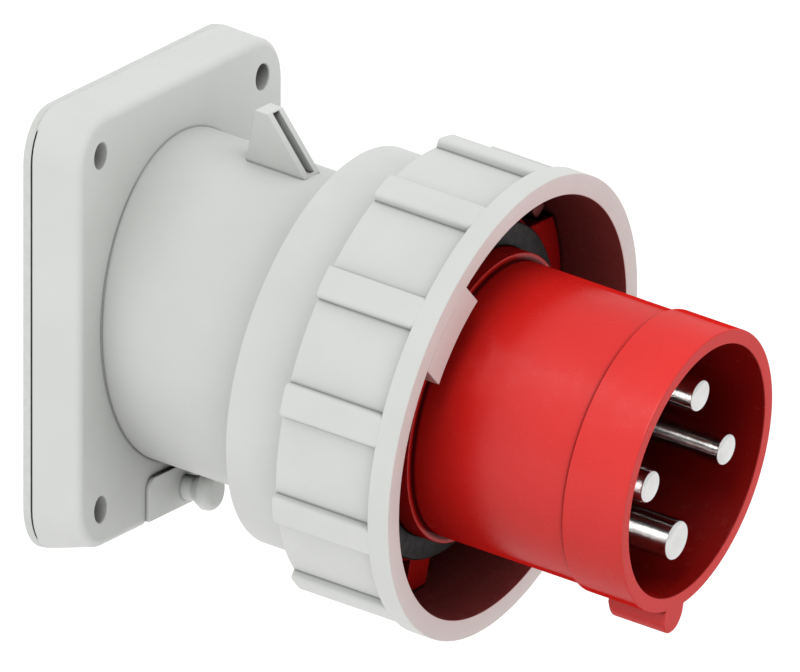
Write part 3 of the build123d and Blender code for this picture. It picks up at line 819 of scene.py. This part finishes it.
def keyLug():
    n = insert
    half, drop, top = n["keyHalfWidth"], -n["keyDrop"], n["keyRoot"] - n["sleeve"]
    line = [(half, top)]
    line += [(x, drop - y) for x, y in arc(half, spanned(0, math.pi, 16))]
    line += [(-half, top)]
    start, end, r = n["front"] - n["keyLength"], n["front"], n["keyRound"]
    layers = []
    for angle in quarterTurn(6):
        shrink, place = r * (1 - math.sin(angle)), start + r * (1 - math.cos(angle))
        layers.append(([shrunk(x, y, half, drop, shrink) for x, y in line], place))
    layers.append((line, end - n["keyEdge"]))
    layers.append(([shrunk(x, y, half, drop, n["keyEdge"]) for x, y in line], end))
    return stacked("key", layers)


def shrunk(x, y, half, drop, amount):
    # draws the key's round end in, and leaves its straight flanks where they are
    if y > drop:
        return (x, y)
    away = Vector((x, y - drop))
    share = min(1.0, -(y - drop) / half * 2)
    return tuple(Vector((0, drop)) + away * (1 - amount * share / half))


def sleeveInsert():
    n = insert
    whole = insertBody()
    joined(whole, holdingEars() + [keyLug()], "UNION")
    core = cylinder(n["rebate"], n["back"] - beyond, n["rebateEnd"], 256)
    sinks = []
    for angle in spanned(0, 360, n["screws"])[:-1]:
        sink = cylinder(n["screwHole"], n["seatFront"] - n["screwDepth"], n["seatFront"] + beyond, 40)
        turn = Matrix.Rotation(math.radians(n["screwAngle"] + angle), 4, "Z")
        sinks.append(moved(sink, turn @ Matrix.Translation((n["screwCircle"], 0, 0))))
    joined(whole, [core] + sinks, "DIFFERENCE")
    whole.name = "sleeveInsert"
    return finished(whole, alongSleeve, "inlet", "shroud_insert", finishes["red"])


redPieces = [sleeveInsert()]
print("insert done")


# Contact block, the floor of the sleeve

block = {"back": 60.6, "floor": 76.0, "radius": 30.8, "flange": 36.05, "flangeEnd": 64.6, "spigot": 34.2,
         "spigotBore": 30.6, "spigotBack": 50.0, "grooveDepth": 2.1, "grooveStart": 54.2, "grooveEnd": 57.0,
         "holeRound": 0.35, "edge": 0.3}
pinPlaces = {"circle": 18.15, "line": 4.0, "earth": 5.0, "lineAngles": (90, 0, 180), "earthAngle": 270,
             "rootStep": 0.3, "clearance": 0.05}


def contactBlock():
    b, e = block, block["edge"]
    groove = b["spigot"] - b["grooveDepth"]
    whole = turned("contactBlock", [
        (0, b["back"]), (b["spigotBore"], b["back"]), (b["spigotBore"], b["spigotBack"], e),
        (b["spigot"], b["spigotBack"], e), (b["spigot"], b["grooveStart"]), (groove, b["grooveStart"]),
        (groove, b["grooveEnd"]), (b["spigot"], b["grooveEnd"]), (b["spigot"], b["back"]),
        (b["flange"], b["back"]), (b["flange"], b["flangeEnd"], e), (b["radius"], b["flangeEnd"]),
        (b["radius"], b["floor"], e), (0, b["floor"]),
    ], 200)
    places = [(a, pinPlaces["line"]) for a in pinPlaces["lineAngles"]]
    places.append((pinPlaces["earthAngle"], pinPlaces["earth"]))
    holes = []
    for angle, radius in places:
        r, soft = radius + pinPlaces["rootStep"] + pinPlaces["clearance"], b["holeRound"]
        hole = turned("hole", [
            (0, b["back"] - beyond), (r, b["back"] - beyond), (r, b["floor"] - soft), (r + soft, b["floor"]),
            (r + soft, b["floor"] + beyond), (0, b["floor"] + beyond),
        ], 64)
        turn = Matrix.Rotation(math.radians(angle), 4, "Z")
        holes.append(moved(hole, turn @ Matrix.Translation((pinPlaces["circle"], 0, 0))))
    joined(whole, holes, "DIFFERENCE")
    whole.name = "contactBlock"
    return finished(whole, alongSleeve, "inlet", "contact_block", finishes["red"])


redPieces.append(contactBlock())
print("contact block done")


# Face seal

seal = {"inner": 35.35, "outer": 41.2, "back": 72.0, "front": 76.0, "edge": 0.5, "innerEdge": 0.2}


def faceSeal():
    s = seal
    piece = turned("faceSealRing", [
        (s["inner"], s["back"]), (s["outer"], s["back"]), (s["outer"], s["front"], s["edge"]),
        (s["inner"], s["front"], s["innerEdge"]),
    ], 200)
    return finished(piece, alongSleeve, "inlet", "face_seal", finishes["seal"])


faceSeal()
print("seal done")


# Contact pins with their terminals

pin = {"tip": 136.8, "tipRound": 1.0, "shoulder": 3.0, "shoulderStart": 60.6, "shoulderEnd": 64.5,
       "lineBarrel": 6.0, "earthBarrel": 6.5, "barrelBack": 32.1, "bore": 4.1, "boreEnd": 52.1,
       "clampPlaces": (36.6, 44.6), "clampHole": 2.52, "edge": 0.3, "barrelEdge": 0.5,
       "drillTip": 1.2, "drillShoulder": 0.6}


def contactPin(name, node, radius, barrel, angle):
    p = pin
    e, root = p["edge"], radius + pinPlaces["rootStep"]
    body = turned("pin", [
        (0, p["boreEnd"] + p["drillTip"]), (p["bore"], p["boreEnd"] - p["drillShoulder"]),
        (p["bore"], p["barrelBack"], e), (barrel, p["barrelBack"], p["barrelEdge"]),
        (barrel, p["shoulderStart"]),
        (radius + p["shoulder"], p["shoulderStart"], e), (radius + p["shoulder"], p["shoulderEnd"], e),
        (root, p["shoulderEnd"]), (root, block["floor"]), (radius, block["floor"]),
        (radius, p["tip"], p["tipRound"]), (0, p["tip"]),
    ], 96)
    holes = []
    for place in p["clampPlaces"]:
        hole = cylinder(p["clampHole"], 0, 2 * barrel, 40)
        holes.append(moved(hole, Matrix.Translation((0, 0, place)) @ Matrix.Rotation(math.pi / 2, 4, "Y")))
    joined(body, holes, "DIFFERENCE")
    turn = Matrix.Rotation(math.radians(angle), 4, "Z") @ Matrix.Translation((pinPlaces["circle"], 0, 0))
    body.name = name
    return finished(body, alongSleeve @ turn, "inlet", node, finishes["nickel"])


contactPins = []
for number, angle in enumerate(pinPlaces["lineAngles"], start=1):
    contactPins.append(contactPin(f"linePin{number}", f"line_pin_{number}", pinPlaces["line"],
                                  pin["lineBarrel"], angle))
contactPins.append(contactPin("earthPin", "earth_pin", pinPlaces["earth"], pin["earthBarrel"],
                              pinPlaces["earthAngle"]))
print("pins done")


# Parts that keep their CAD shape

keptFinish = {
    "cap_cord_plate_screws": "zinc", "insert_screws": "zinc", "retainer_screws": "zinc",
    "line_clamp_screws": "zinc", "earth_clamp_screws": "zinc", "line_clamp_saddle_1": "zinc",
    "line_clamp_saddle_2": "zinc", "line_clamp_saddle_3": "zinc", "earth_clamp_saddle": "zinc",
    "insert_o_ring": "seal", "line_pin_o_rings": "seal", "earth_pin_o_ring": "seal", "pin_retainer": "black",
}
for name, finish in keptFinish.items():
    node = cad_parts[name]
    node.data.materials.clear()
    node.data.materials.append(finishes[finish])
print("kept parts dressed:", len(keptFinish))


# Floor, light and camera

studio = {
    "floorDrop": 90.0, "floorSize": 9.0,  # the drop is millimetres, the other lengths here are metres
    "floorColour": (0.93, 0.93, 0.93), "floorGlow": 0.22, "floorRoughness": 0.9,
    "sky": 1.0, "skyColour": (1.0, 1.0, 1.0),
    "keyPower": 0.6, "redPower": 16.0, "keySize": 0.9,
    "keyPlace": (0.35, -1.05, 1.25), "keyAim": (0.06, 0.0, 0.0),
}
pinLights = {"side": -50.0, "panels": (((98.0, 126.0), (-6.0, 18.0)), ((98.0, 126.0), (-18.0, -15.0))),
             "glow": 90}
photoView = {"azimuth": 29.06, "elevation": 15.8, "pixelsPerMm": 4.317, "width": 800, "height": 672,
             "footPixel": (181.99, 293.30), "distance": 3.0, "clipEnd": 20.0}


def paleFloor():
    half = studio["floorSize"] / 2
    level = cadBox[0][2] - studio["floorDrop"] * mm
    bm = bmesh.new()
    corners = ((-half, -half), (half, -half), (half, half), (-half, half))
    bm.faces.new([bm.verts.new((x, y, level)) for x, y in corners])
    floor = meshFrom("floor", bm)
    material, tree, shader = startMaterial("palePaper", studio["floorRoughness"])[:3]
    shader.inputs["Base Color"].default_value = (*studio["floorColour"], 1)
    shader.inputs["Emission Color"].default_value = (1, 1, 1, 1)
    ray = tree.nodes.new("ShaderNodeLightPath").outputs
    seen = worked(tree, "MAXIMUM", ray["Is Camera Ray"], ray["Is Glossy Ray"])
    seen = worked(tree, "MAXIMUM", seen, ray["Is Transmission Ray"])
    glow = worked(tree, "MULTIPLY", seen, studio["floorGlow"])
    tree.links.new(glow, shader.inputs["Emission Strength"])
    floor.data.materials.append(material)


def softLight():
    world = bpy.data.worlds.new("studio")
    bpy.context.scene.world = world
    world.use_nodes = True
    tree = world.node_tree
    sky = tree.nodes["Background"]
    sky.inputs["Color"].default_value = (*studio["skyColour"], 1)
    sky.inputs["Strength"].default_value = studio["sky"]
    keyLamp("key", studio["keyPower"])
    litOnly(keyLamp("redKey", studio["redPower"]), "litRed", redPieces)


def keyLamp(name, power):
    lamp = bpy.data.lights.new(name, "AREA")
    lamp.energy = power
    lamp.shape = "DISK"
    lamp.size = studio["keySize"]
    key = linked(name, lamp)
    key.location = studio["keyPlace"]
    key.rotation_euler = (Vector(studio["keyAim"]) - key.location).to_track_quat("-Z", "Y").to_euler()
    return key


def litOnly(lamp, name, pieces):
    chosen = bpy.data.collections.new(name)
    for piece in pieces:
        chosen.objects.link(piece)
    lamp.light_linking.receiver_collection = chosen
    return chosen


def lightOnPins():
    # two small panels beside the sleeve put bright streaks on the pins alone, straight through the red wall
    side = pinLights["side"]
    outward, across, up = (alongSleeve.to_3x3() @ Vector(v) for v in ((0, 0, 1), (-1, 0, 0), (0, 1, 0)))
    turn = Matrix((outward, up, across)).transposed().to_4x4()
    for number, ((start, end), (low, high)) in enumerate(pinLights["panels"], start=1):
        lamp = bpy.data.lights.new(f"pinLight{number}", "AREA")
        lamp.shape = "RECTANGLE"
        lamp.size, lamp.size_y = (end - start) * mm, (high - low) * mm
        lamp.energy = pinLights["glow"] * math.pi * lamp.size * lamp.size_y
        panel = linked(f"pinLight{number}", lamp)
        middle = alongSleeve @ Vector((side, (low + high) / 2, (start + end) / 2))
        panel.matrix_world = Matrix.Translation(middle * mm) @ turn
        panel.visible_camera = False
        panel.light_linking.blocker_collection = litOnly(panel, f"litPins{number}", contactPins)


def photoCamera():
    azimuth, elevation = math.radians(photoView["azimuth"]), math.radians(photoView["elevation"])
    right = Vector((math.cos(azimuth), math.sin(azimuth), 0))
    toward = Vector((math.sin(azimuth) * math.cos(elevation), -math.cos(azimuth) * math.cos(elevation),
                     math.sin(elevation)))
    up = toward.cross(right)
    perMetre = photoView["pixelsPerMm"] * 1000
    across = (photoView["width"] / 2 - photoView["footPixel"][0]) / perMetre
    down = (photoView["height"] / 2 - photoView["footPixel"][1]) / perMetre
    middle = Vector((sleeveAxis["foot"] * mm, 0, 0)) + right * across - up * down
    lens = bpy.data.cameras.new("photoCamera")
    lens.type = "ORTHO"
    lens.ortho_scale = photoView["width"] / perMetre
    lens.clip_end = photoView["clipEnd"]
    camera = linked("photoCamera", lens)
    turn = Matrix((right, up, toward)).transposed().to_4x4()
    camera.matrix_world = Matrix.Translation(middle + toward * photoView["distance"]) @ turn
    bpy.context.scene.camera = camera


paleFloor()
softLight()
lightOnPins()
photoCamera()
bpy.context.scene.view_settings.view_transform = "Standard"
print("stage ready")
